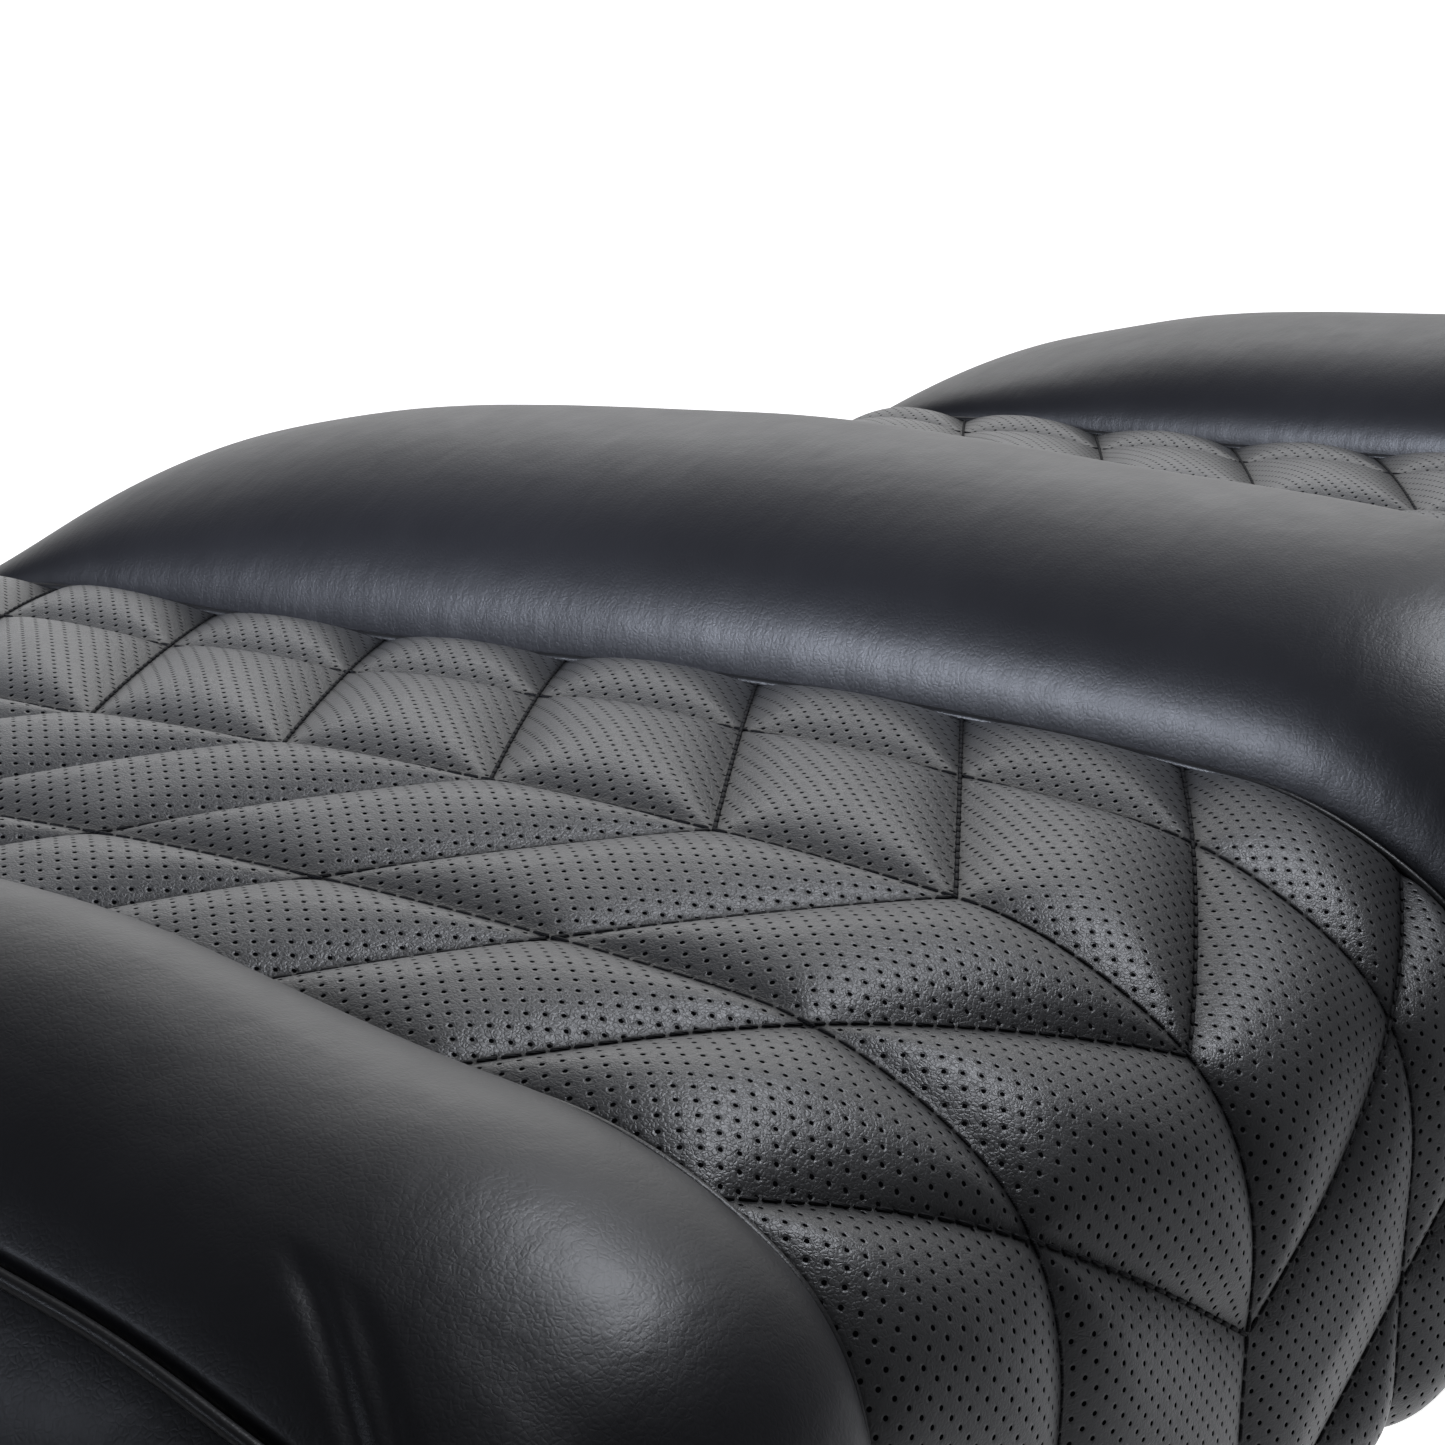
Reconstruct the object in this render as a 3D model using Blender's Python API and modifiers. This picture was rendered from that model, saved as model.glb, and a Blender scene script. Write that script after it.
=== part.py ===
# Two-place quilted motorcycle seat: two cushions side by side on a tube frame.
# Each cushion flips forward on a hinge rod at its front lower edge and is held
# down at the rear by a spring-return latch. Metres, +Z up, front towards -Y.
import bpy
import bmesh
import math
from mathutils import Matrix, Vector

for o in list(bpy.data.objects):
    bpy.data.objects.remove(o, do_unlink=True)
for c in list(bpy.data.collections):
    bpy.data.collections.remove(c)

# ---------------------------------------------------------------- driving sizes
Q = 0.005                      # perforation row pitch of the insert leather
GAP = 0.0003                   # gap kept between touching pieces
SEAT_PITCH = 0.500             # centre to centre of the two cushions
SET_BACK = 0.015               # passenger cushion sits this far behind the driver's
DROP = 0.021                   # and this much lower
INSERT_HALF = 24 * Q           # centre line to insert seam
FLARE = 3.4 * Q                # most extra width of the insert's left edge
CREST_R, CREST_L = 15.7 * Q, 8.5 * Q  # seam to bolster crest
HALF = 47.6 * Q                # centre line to the bolster's outer side
CUSHION_H = 0.104              # insert surface above the pan's top, at the front roll
PAN_T = 0.008                  # moulded pan thickness
INSERT_T = 0.010               # quilted pad thickness
SKIN_T = 0.003                 # boxing panel thickness
BOX_H = 0.034                  # height of the boxing band
S_REAR, S_FRONT = -84 * Q, 27 * Q     # arc length along the insert, 0 = top of the front roll
PIPE_R = 0.0018                # welt radius
TUBE_R, RAIL_R = 0.0125, 0.011        # cross tube and rail radii
FOOT_T = 0.006
RAIL_X = 0.140                 # rail offset from the cushion's centre line
ROD_R = 0.004                  # hinge rod radius
BUMP_H = 0.012                 # bump stop height
# slope of the seat surface going forward, degrees below level, against arc length
SLOPE = ((-92, -34), (-84, -28), (-79, -20), (-74, -11), (-69, -4), (-63, 0), (-35, -3), (-11, 2), (0, 5), (5, 22), (10, 34),
         (15, 68), (20, 93), (25, 90), (34, 89))
# bolster height above the insert, against arc length
RISE_R = ((-84, -2.6), (-80, -1.1), (-76, 0.6), (-73, 2.6), (-70, 4.4), (-65, 5.7), (-60, 7), (-55, 8), (-50, 8.6), (-45, 8.9), (-33, 9),
          (-12, 8.7), (5, 8.8), (10, 7.8), (18, 6), (27, 4))
RISE_L = ((-84, -2.4), (-80, -0.9), (-76, 0.7), (-73, 2), (-70, 2.9), (-62, 3.6), (-50, 3.1), (-35, 3.1), (-21, 3.5), (-15, 3.4), (-10, 2.6), (-5, 1.7),
          (0, 1.1), (5, 1.1), (10, 1.5), (16, 1.8), (31, 1.9))
# the passenger's right bolster is lower
RISE_RP = ((-84, -1.5), (-80, 0.2), (-76, 1.6), (-73, 2.4), (-70, 3), (-65, 4), (-60, 5.4), (-55, 6.4), (-50, 7), (-45, 7.3), (-33, 7.4), (-12, 6.8),
           (5, 5.7), (18, 4.1), (27, 2.8))
# extra width of the insert's left edge, against arc length
FLARE_L = ((-84, 0), (-60, 0.4), (-40, 1), (-28, 1.5), (-18, 2), (-10, 2.5), (-4, 2.65), (2, 2.55), (8, 2.4), (14, 2.5), (20, 2.9), (27, 3.3))
BOLSTER_DROP = 15 * Q          # crest side falls this far below the insert

coll = bpy.data.collections.new("two_place_seat")
bpy.context.scene.collection.children.link(coll)
cut_coll = bpy.data.collections.new("cutters")
bpy.context.scene.collection.children.link(cut_coll)


# ---------------------------------------------------------------- materials
def material(name, colour, rough, metal=0.0):
    m = bpy.data.materials.new(name)
    m.use_nodes = True
    b = m.node_tree.nodes["Principled BSDF"]
    b.inputs["Base Color"].default_value = (*colour, 1)
    b.inputs["Roughness"].default_value = rough
    b.inputs["Metallic"].default_value = metal
    return m


LOOKS = {
    "quilt": ((0.09, 0.09, 0.095), 0.55, 0), "leather": ((0.028, 0.028, 0.031), 0.42, 0),
    "boxing": ((0.025, 0.025, 0.027), 0.5, 0), "welt": ((0.02, 0.02, 0.022), 0.45, 0),
    "foam": ((0.5, 0.48, 0.4), 0.9, 0), "pan": ((0.03, 0.03, 0.03), 0.6, 0),
    "tube": ((0.02, 0.02, 0.022), 0.35, 0.6), "zinc": ((0.6, 0.6, 0.58), 0.3, 1),
    "steel": ((0.5, 0.5, 0.52), 0.35, 1), "rubber": ((0.02, 0.02, 0.02), 0.8, 0),
}


def own(obj, look):
    m = material(obj.name + "_mat", *LOOKS[look])
    obj.data.materials.clear()
    obj.data.materials.append(m)


def link(obj, parent, look):
    coll.objects.link(obj)
    own(obj, look)
    if parent is not None:
        bpy.context.view_layer.update()
        obj.parent = parent
        obj.matrix_parent_inverse = parent.matrix_world.inverted()
    return obj


def empty(name, loc):
    e = bpy.data.objects.new(name, None)
    e.location = loc
    e.empty_display_size = 0.03
    coll.objects.link(e)
    bpy.context.view_layer.update()
    return e


# ---------------------------------------------------------------- shape helpers
def tube(name, pts, radius, parent, look, res=3, origin=(0, 0, 0)):
    cu = bpy.data.curves.new(name, "CURVE")
    cu.dimensions = "3D"
    cu.bevel_depth = radius
    cu.bevel_resolution = res
    cu.use_fill_caps = True
    sp = cu.splines.new("POLY")
    sp.points.add(len(pts) - 1)
    o = Vector(origin)
    for p, q in zip(sp.points, pts):
        p.co = (*(Vector(q) - o), 1)
    ob = bpy.data.objects.new(name, cu)
    ob.location = o
    return link(ob, parent, look)


def plate(name, loops, thick, centre, parent, look, side=True):
    """Flat outline, extruded. side=True: outline in (y, z), thickness along x.
    side=False: outline in (x, y), thickness along z."""
    cu = bpy.data.curves.new(name, "CURVE")
    cu.dimensions = "2D"
    cu.fill_mode = "BOTH"
    cu.extrude = thick / 2
    for lp in loops:
        sp = cu.splines.new("POLY")
        sp.points.add(len(lp) - 1)
        for p, q in zip(sp.points, lp):
            p.co = (q[0], q[1], 0, 1)
        sp.use_cyclic_u = True
    ob = bpy.data.objects.new(name, cu)
    if side:
        ob.matrix_world = Matrix.Translation(centre) @ Matrix(((0, 0, 1, 0), (1, 0, 0, 0), (0, 1, 0, 0), (0, 0, 0, 1)))
    else:
        ob.location = centre
    return link(ob, parent, look)


def circle(cx, cy, r, n=20):
    return [(cx + r * math.cos(2 * math.pi * i / n), cy + r * math.sin(2 * math.pi * i / n)) for i in range(n)]


def rounded(w, h, r, n=4):
    out = []
    for cx, cy, a0 in ((w / 2 - r, h / 2 - r, 0), (-w / 2 + r, h / 2 - r, 90), (-w / 2 + r, -h / 2 + r, 180), (w / 2 - r, -h / 2 + r, 270)):
        for i in range(n + 1):
            a = math.radians(a0 + 90 * i / n)
            out.append((cx + r * math.cos(a), cy + r * math.sin(a)))
    return out


def cylinder(name, r, depth, loc, axis, parent, look, n=20, bevel=0.0):
    me = bpy.data.meshes.new(name)
    bm = bmesh.new()
    bmesh.ops.create_cone(bm, cap_ends=True, segments=n, radius1=r, radius2=r, depth=depth)
    bm.to_mesh(me)
    bm.free()
    ob = bpy.data.objects.new(name, me)
    ob.location = loc
    if axis == "X":
        ob.rotation_euler = (0, math.pi / 2, 0)
    if axis == "Y":
        ob.rotation_euler = (math.pi / 2, 0, 0)
    for p in me.polygons:
        p.use_smooth = len(p.vertices) == 4
    if bevel:
        b = ob.modifiers.new("edge", "BEVEL")
        b.width = bevel
        b.segments = 2
    return link(ob, parent, look)


def box(name, size, loc, parent, look, bevel=0.0015):
    me = bpy.data.meshes.new(name)
    bm = bmesh.new()
    bmesh.ops.create_cube(bm, size=1, matrix=Matrix.Diagonal((*size, 1)))
    bm.to_mesh(me)
    bm.free()
    ob = bpy.data.objects.new(name, me)
    ob.location = loc
    if bevel:
        b = ob.modifiers.new("edge", "BEVEL")
        b.width = bevel
        b.segments = 2
    return link(ob, parent, look)


def loft(name, loops, parent, look, smooth=True):
    """Closed solid through loops of equal length; each loop runs along the top
    and back along the bottom, so both end faces are strips between the two."""
    n = len(loops[0])
    h = n // 2
    bm = bmesh.new()
    vs = [[bm.verts.new(p) for p in lp] for lp in loops]
    for a, b in zip(vs[:-1], vs[1:]):
        for i in range(n):
            j = (i + 1) % n
            bm.faces.new((a[i], a[j], b[j], b[i]))
    for lp, flip in ((vs[0], False), (vs[-1], True)):
        for i in range(h - 1):
            f = (lp[i], lp[n - 1 - i], lp[n - 2 - i], lp[i + 1])
            bm.faces.new(tuple(reversed(f)) if flip else f)
    bmesh.ops.recalc_face_normals(bm, faces=bm.faces)
    if bm.calc_volume(signed=True) < 0:
        bmesh.ops.reverse_faces(bm, faces=bm.faces)
    me = bpy.data.meshes.new(name)
    bm.to_mesh(me)
    bm.free()
    if smooth:
        me.shade_smooth()
        me.set_sharp_from_angle(angle=math.radians(40))
    return link(bpy.data.objects.new(name, me), parent, look)


# ---------------------------------------------------------------- seat profile
def table(tab, s):
    s = s / Q
    if s <= tab[0][0]:
        return tab[0][1]
    for (a, u), (b, v) in zip(tab[:-1], tab[1:]):
        if s <= b:
            return u + (v - u) * (s - a) / (b - a)
    return tab[-1][1]


def profile(s_list):
    """(y, z, ny, nz) of the insert surface at each arc length; y=z=0 at s=0."""
    out = {}
    step = 0.0005
    for sign in (1, -1):
        y = z = s = 0.0
        want = sorted([v for v in s_list if v * sign >= 0], key=abs)
        for v in want:
            while abs(v - s) > 1e-9:
                d = min(step, abs(v - s)) * sign
                a = math.radians(table(SLOPE, s + d / 2))
                y -= d * math.cos(a)
                z -= d * math.sin(a)
                s += d
            a = math.radians(table(SLOPE, v))
            out[v] = (y, z, -math.sin(a), math.cos(a))
    return [out[v] for v in s_list]


def smooth01(t):
    t = min(1, max(0, t))
    return t * t * (3 - 2 * t)


def seam_x(s, side):
    return side * (INSERT_HALF + (table(FLARE_L, s) * Q if side < 0 else 0))


STATIONS = [-84, -76, -68, -60, -52, -44, -36, -28, -20, -13, -7, -2, 2, 5, 7.5, 10, 12.5, 15, 17.5, 20, 23, 27]
STATIONS = [v * Q for v in STATIONS]
PROF = profile(STATIONS)
Y_FRONT = min(p[0] for p in PROF)
Y_REAR = max(p[0] for p in PROF)
PAN_FRONT = Y_FRONT + 0.010
HINGE_Y = Y_FRONT + 0.034

# heights of the frame, from the floor up
CROSS_Z = FOOT_T + GAP + TUBE_R
RAIL_Z = CROSS_Z + TUBE_R + GAP + RAIL_R            # passenger rails lie on the cross tubes
PAN_Z = RAIL_Z + RAIL_R + BUMP_H + GAP              # underside of the passenger pan
LEVER_OUT = 0.017              # latch handle stands out behind the cushion
FRONT_MOST = min(p[0] + p[2] * table(RISE_R, v) * Q for v, p in zip(STATIONS, PROF))
Y_SHIFT = -(FRONT_MOST + Y_REAR + SET_BACK + LEVER_OUT) / 2   # centres the pair on the origin
CROSS_Y = (Y_FRONT + 0.205 + Y_SHIFT, Y_REAR - 0.020 + Y_SHIFT)

# ---------------------------------------------------------------- shared frame
X_END = SEAT_PITCH / 2 + RAIL_X + 0.060
for tag, y in zip(("front", "rear"), CROSS_Y):
    tube(tag + "_cross_tube", [(-X_END, y, CROSS_Z), (-X_END / 3, y, CROSS_Z), (X_END / 3, y, CROSS_Z), (X_END, y, CROSS_Z)],
         TUBE_R, None, "tube", 4, (0, y, CROSS_Z))
    for side, sx in (("left", -1), ("right", 1)):
        x = sx * (X_END - 0.035)
        plate("mounting_foot_%s_%s" % (tag, side),
              [rounded(0.064, 0.060, 0.008), circle(0, 0.022, 0.0035, 12)], FOOT_T,
              (x, y, FOOT_T / 2), None, "tube", False)


def cushion(tag, cx, oy, pan_z, rise_right):
    """One cushion with its rails, hinge and latch. oy is the world y of the
    profile's s = 0, pan_z the underside of the pan."""
    zt = pan_z + PAN_T                       # top of the pan
    z0 = zt + CUSHION_H                      # insert surface at s = 0
    hy, hz = oy + HINGE_Y, pan_z - 0.009     # hinge rod axis
    hinge = empty(tag + "_hinge_axis", (cx, hy, hz))
    rail_z = pan_z - BUMP_H - GAP - RAIL_R

    # rails, with risers where they stand above the cross tubes
    for side, sx in (("left", -1), ("right", 1)):
        x = cx + sx * RAIL_X
        y0, y1 = oy + Y_FRONT + 0.072, oy + Y_REAR - 0.012
        tube("%s_rail_%s" % (tag, side), [(x, y0, rail_z), (x, (2 * y0 + y1) / 3, rail_z), (x, (y0 + 2 * y1) / 3, rail_z), (x, y1, rail_z)],
             RAIL_R, None, "tube", 4, (x, y0, rail_z))
        lift = (rail_z - RAIL_R) - (CROSS_Z + TUBE_R)
        if lift > 0.005:
            for end, y in zip(("front", "rear"), CROSS_Y):
                box("%s_riser_%s_%s" % (tag, end, side), (0.026, 0.030, lift - 2 * GAP),
                    (x, y, CROSS_Z + TUBE_R + lift / 2), None, "tube", 0.002)
        # hinge ear on the rail's inner side: reaches forward to the rod
        ex = x - sx * (RAIL_R + GAP + 0.0025)
        lo, hi = rail_z - 0.006 - hz, 0.0065
        r = 0.0085
        nose = [(r * math.cos(math.radians(a)), r * math.sin(math.radians(a))) for a in range(80, 281, 20)]
        ear = [(0.062, hi), (0.004, r)] + nose + [(0.012, lo), (0.062, lo)]
        plate("%s_hinge_ear_%s" % (tag, side), [ear, circle(0, 0, ROD_R + GAP)], 0.005, (ex, hy, hz), None, "tube")
        # hinge leaf under the pan, beside the ear
        lx = ex - sx * (0.0025 + GAP + 0.002)
        leaf = [(0.040, 0.009 - GAP), (-0.010, 0.009 - GAP)] + \
               [(0.0078 * math.cos(math.radians(a)), 0.0078 * math.sin(math.radians(a))) for a in range(170, 341, 20)] + [(0.030, 0.003)]
        plate("%s_hinge_leaf_%s" % (tag, side), [leaf, circle(0, 0, ROD_R + GAP)], 0.004, (lx, hy, hz), hinge, "zinc")
        # rubber bump stop on the rail, under the pan's rear
        cylinder("%s_bump_stop_%s" % (tag, side), 0.009, BUMP_H - GAP,
                 (x, oy + Y_REAR - 0.055, pan_z - BUMP_H / 2 - GAP / 2),
                 "Z", None, "rubber", 16)
    cylinder(tag + "_hinge_rod", ROD_R, 2 * RAIL_X - 2 * RAIL_R - 0.004, (cx, hy, hz), "X", None, "zinc", 20, 0.0006)

    # moulded pan
    w, d = 2 * HALF - 0.012, Y_REAR - PAN_FRONT - 0.004
    plate(tag + "_seat_pan", [rounded(w, d, 0.030, 5)], PAN_T,
          (cx, oy + PAN_FRONT + d / 2, pan_z + PAN_T / 2), hinge, "pan", False)

    # foam core under the insert
    inner = [(p[0] - p[2] * (INSERT_T + GAP), p[1] - p[3] * (INSERT_T + GAP)) for p in PROF]
    floor = -CUSHION_H + GAP
    core = [(y, z) for y, z in inner if z > floor + 0.004]
    outline = core + [(core[-1][0], floor), (core[0][0], floor)]
    plate(tag + "_foam_core", [outline], 2 * (INSERT_HALF - 0.001), (cx, oy, z0), hinge, "foam")

    # quilted insert pad
    loops = []
    for side in (-1, 1):
        top, bot = [], []
        for s, (y, z, ny, nz) in zip(STATIONS, PROF):
            x = cx + seam_x(s, side) - side * (GAP if side > 0 else 0.0012)
            top.append((x, oy + y, z0 + z))
            bot.append((x, oy + y - ny * INSERT_T, z0 + z - nz * INSERT_T))
        loops.append(top + bot[::-1])
    loft(tag + "_insert_pad", loops, hinge, "quilt")

    # bolsters: side profiles at stations across, from the seam over the crest to the outer side
    rear_edge = {}
    for side, crest, rise, nm in ((-1, CREST_L, RISE_L, "left"), (1, CREST_R, rise_right, "right")):
        ends = []
        outer = HALF - INSERT_HALF - crest
        across = [("in", a) for a in (0, 12, 28, 50, 72, 90)] + [("out", a) for a in (25, 48, 68, 82, 90)]
        loops = []
        for zone, ang in across:
            a = math.radians(ang)
            top, bot = [], []
            for k, (s, (y, z, ny, nz)) in enumerate(zip(STATIONS, PROF)):
                h = table(rise, s) * Q
                base = abs(seam_x(s, side))
                if zone == "in":
                    v = h * math.sin(a)
                    x = base + GAP + (INSERT_HALF + crest - base) * (1 - math.cos(a))
                else:
                    v = h - (h + BOLSTER_DROP) * (1 - math.cos(a))
                    x = INSERT_HALF + crest + outer * math.sin(a)
                if v >= 0:
                    ty, tz = y + ny * v, z + nz * v
                else:
                    lam = (CUSHION_H + v) / CUSHION_H
                    ty, tz = y - 0.12 * v * smooth01((s / Q + 5) / 15), -CUSHION_H + (z + CUSHION_H) * lam
                tz = max(tz, -CUSHION_H + 0.003)
                t = k / (len(STATIONS) - 1)
                by = Y_REAR + (PROF[-1][0] - Y_REAR) * t
                top.append((cx + side * x, oy + ty, z0 + tz))
                if k == 0:
                    ends.append((x, tz - 0.001))
                bx = INSERT_HALF + FLARE + GAP + (crest - FLARE) * (1 - math.cos(a)) if side < 0 and zone == "in" else x
                bot.append((cx + side * bx, oy + by, zt + GAP))
            loops.append(top + bot[::-1])
        loft("%s_bolster_%s" % (tag, nm), loops, hinge, "leather")
        # boxing panel outside the bolster's foot
        y0, y1 = oy + Y_FRONT + 0.016, oy + Y_REAR
        box("%s_boxing_%s" % (tag, nm), (SKIN_T, y1 - y0, BOX_H), (cx + side * (HALF + GAP + SKIN_T / 2), (y0 + y1) / 2, pan_z + BOX_H / 2),
            hinge, "boxing", 0.001)
        # welt on the insert seam
        pts = []
        for s, (y, z, ny, nz) in zip(STATIONS, PROF):
            x = cx + seam_x(s, side) - side * (PIPE_R + 0.0007)
            pts.append((x, oy + y + ny * (PIPE_R + 0.0005), z0 + z + nz * (PIPE_R + 0.0005)))
        tube("%s_welt_%s" % (tag, nm), pts, PIPE_R, hinge, "welt", 2)
        rear_edge[side] = [(side * lp_x, lp_z) for lp_x, lp_z in ends]
    # rear boxing panel, cut to the outline of the bolsters' and insert's rear ends
    rim = rear_edge[-1][::-1] + rear_edge[1]
    back = [(-HALF, -CUSHION_H - PAN_T)] + rim + [(HALF, -CUSHION_H - PAN_T)]
    rp = plate(tag + "_boxing_rear", [back], SKIN_T, (0, 0, 0), None, "boxing", False)
    rp.matrix_world = Matrix.Translation((cx, oy + Y_REAR + GAP + SKIN_T / 2, z0)) @ Matrix(((1, 0, 0, 0), (0, 0, -1, 0), (0, 1, 0, 0), (0, 0, 0, 1)))
    bpy.context.view_layer.update()
    rp.parent = hinge
    rp.matrix_parent_inverse = hinge.matrix_world.inverted()

    # latch: housing under the pan's rear, lever on a pin, coil spring on the pin, fixed striker
    ly = oy + Y_REAR - 0.085
    px, pz = cx, pan_z - 0.013
    legs = [(-0.012, 0), (-0.012, -0.020), (-0.010, -0.020), (-0.010, -0.002), (0.010, -0.002), (0.010, -0.020), (0.012, -0.020), (0.012, 0)]
    cu = plate(tag + "_latch_housing_blank", [legs], 0.022, (0, 0, 0), None, "zinc", False)
    cu.matrix_world = Matrix.Translation((cx, ly, pan_z - GAP)) @ Matrix(((1, 0, 0, 0), (0, 0, -1, 0), (0, 1, 0, 0), (0, 0, 0, 1)))
    bpy.context.view_layer.update()
    dg = bpy.context.evaluated_depsgraph_get()
    me = bpy.data.meshes.new_from_object(cu.evaluated_get(dg))
    bm = bmesh.new()
    bm.from_mesh(me)
    bmesh.ops.remove_doubles(bm, verts=bm.verts, dist=0.00001)
    bm.to_mesh(me)
    bm.free()
    hs = bpy.data.objects.new(tag + "_latch_housing", me)
    hs.matrix_world = cu.matrix_world.copy()
    bpy.data.objects.remove(cu, do_unlink=True)
    link(hs, hinge, "zinc")
    cme = bpy.data.meshes.new(tag + "_pin_hole")
    bm = bmesh.new()
    bmesh.ops.create_cone(bm, cap_ends=True, segments=20, radius1=0.0025 + GAP, radius2=0.0025 + GAP, depth=0.04)
    bm.to_mesh(cme)
    bm.free()
    cutter = bpy.data.objects.new(tag + "_pin_hole", cme)
    cutter.location = (px, ly, pz)
    cutter.rotation_euler = (0, math.pi / 2, 0)
    cutter.hide_render = True
    cutter.display_type = "WIRE"
    cut_coll.objects.link(cutter)
    b = hs.modifiers.new("pin_hole", "BOOLEAN")
    b.operation = "DIFFERENCE"
    b.solver = "EXACT"
    b.object = cutter
    cylinder(tag + "_latch_pin", 0.0025, 0.027, (px, ly, pz), "X", hinge, "steel", 16)
    pivot = empty(tag + "_latch_axis", (px, ly, pz))
    bpy.context.view_layer.update()
    pivot.parent = hinge
    pivot.matrix_parent_inverse = hinge.matrix_world.inverted()
    lever = [(0.006, 0.0045), (-0.0015, 0.0062)] + \
            [(0.0062 * math.cos(math.radians(a)), 0.0062 * math.sin(math.radians(a))) for a in range(120, 201, 20)] + \
            [(-0.0045, -0.016), (-0.0085, -0.016), (-0.0085, -0.020), (0.0005, -0.020), (0.0035, -0.008), (0.012, -0.0055),
             (0.070, -0.0080), (0.100, -0.0145), (0.085 + LEVER_OUT, -0.0110), (0.072, -0.0030)]
    plate(tag + "_latch_lever", [lever, circle(0, 0, 0.0025 + GAP)], 0.006, (px - 0.002, ly, pz), pivot, "steel")
    coil = []
    turns, n = 3, 10
    for i in range(turns * n + 1):
        a = 2 * math.pi * i / n
        coil.append((px + 0.0032 + 0.0052 * i / (turns * n), ly + 0.0042 * math.cos(a), pz + 0.0042 * math.sin(a)))
    tube(tag + "_latch_spring", coil, 0.0006, hinge, "steel", 2)
    # where the fixed striker's bar lies: just in front of the hook
    sy, bar_z = ly - 0.0145, pz - 0.0115
    return hinge, (px, ly, pz), (sy, bar_z)


DRIVER = cushion("driver", -SEAT_PITCH / 2, Y_SHIFT, PAN_Z + DROP, RISE_R)
PASSENGER = cushion("passenger", SEAT_PITCH / 2, Y_SHIFT + SET_BACK, PAN_Z, RISE_RP)

# strikers: each a bent rod on a keeper base that bridges the two rails' inner sides
for tag, cx, (hinge, pin, (sy, bar_z)) in (("driver", -SEAT_PITCH / 2, DRIVER), ("passenger", SEAT_PITCH / 2, PASSENGER)):
    z0 = bar_z - 0.019
    span = RAIL_X - RAIL_R - 0.0006
    pts = [(cx - span, sy, z0), (cx - 0.050, sy, z0), (cx - 0.036, sy, z0 + 0.003), (cx - 0.026, sy, bar_z - 0.003), (cx - 0.018, sy, bar_z),
           (cx + 0.018, sy, bar_z), (cx + 0.026, sy, bar_z - 0.003), (cx + 0.036, sy, z0 + 0.003), (cx + 0.050, sy, z0), (cx + span, sy, z0)]
    tube(tag + "_striker", pts, 0.003, None, "zinc", 3)
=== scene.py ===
# Looks of the two-place quilted motorcycle seat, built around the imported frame.
import math
import bpy
import bmesh
import numpy as np
from mathutils import Matrix, Vector


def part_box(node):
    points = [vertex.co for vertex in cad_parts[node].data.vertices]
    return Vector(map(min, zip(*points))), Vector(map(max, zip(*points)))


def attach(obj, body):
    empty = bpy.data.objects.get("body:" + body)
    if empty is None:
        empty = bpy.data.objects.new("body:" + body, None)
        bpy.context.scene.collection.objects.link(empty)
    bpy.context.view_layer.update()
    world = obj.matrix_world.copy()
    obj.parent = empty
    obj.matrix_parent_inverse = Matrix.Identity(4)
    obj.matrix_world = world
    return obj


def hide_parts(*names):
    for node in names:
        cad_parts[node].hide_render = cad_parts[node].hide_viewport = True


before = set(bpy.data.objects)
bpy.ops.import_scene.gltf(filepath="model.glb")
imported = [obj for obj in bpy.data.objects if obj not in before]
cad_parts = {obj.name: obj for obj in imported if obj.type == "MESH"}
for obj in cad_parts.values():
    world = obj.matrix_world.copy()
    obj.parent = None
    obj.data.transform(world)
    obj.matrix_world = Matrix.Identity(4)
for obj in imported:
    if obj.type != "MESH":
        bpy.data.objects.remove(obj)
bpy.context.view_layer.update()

# ------------------------------------------------------------------ design, in rows of perforation (Q)
Q = 0.005
INSERT_HALF, FLARE = 24 * Q, 3.7 * Q
CREST = {-1: 8.5 * Q, 1: 15.7 * Q}
FLARE_L = ((-92, 0), (-60, 0.42), (-40, 0.98), (-28, 1.53), (-18, 2.04), (-10, 2.5), (-4, 2.72), (2, 2.6), (8, 2.28), (14, 2.42), (20, 2.86), (27, 3.3), (40, 3.7))
HALF = 47.6 * Q
CUSHION_H, PAN_T = 0.104, 0.008
BOLSTER_DROP = 15 * Q
SLOPE = ((-92, -34), (-84, -28), (-79, -20), (-74, -11), (-69, -4), (-63, 0), (-35, -3), (-11, 2), (0, 5), (5, 22), (10, 34), (15, 68), (20, 93), (25, 90),
         (29.5, 90), (33, 175), (40, 180))
RISE = {1: ((-90, -5), (-84, -2.6), (-80, -1.1), (-76, 0.6), (-73, 2.6), (-70, 4.4), (-65, 5.7), (-60, 7), (-55, 8), (-50, 8.6), (-45, 8.9), (-33, 9), (-12, 8.7), (5, 8.8),
            (10, 7.8), (18, 6), (27, 4), (31, 2), (40, 0.2)),
        -1: ((-90, -4.6), (-84, -2.4), (-80, -0.9), (-76, 0.7), (-73, 2), (-70, 2.9), (-62, 3.6), (-50, 3.05), (-42, 3.08), (-35, 3.14), (-28, 3.25), (-21, 3.46), (-15, 3.5),
             (-10, 2.61), (-5, 1.65), (0, 1.1), (5, 1.12), (10, 1.53), (16, 1.76), (24, 1.87), (30, 1.4), (40, 0.3))}
RIGHT = {"driver": RISE[1],
         "passenger": ((-90, -3.6), (-84, -1.5), (-80, 0.2), (-76, 1.6), (-73, 2.4), (-70, 3), (-65, 4), (-60, 5.4), (-55, 6.4), (-50, 7.0), (-45, 7.28), (-33, 7.39),
                       (-12, 6.8), (5, 5.7), (18, 4.11), (31, 1.8), (40, 0.2))}
S0, S1 = -84.0, 32.5
ROWS = 1.08                               # perforation rows per unit: 4.6 mm apart in the row
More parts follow.
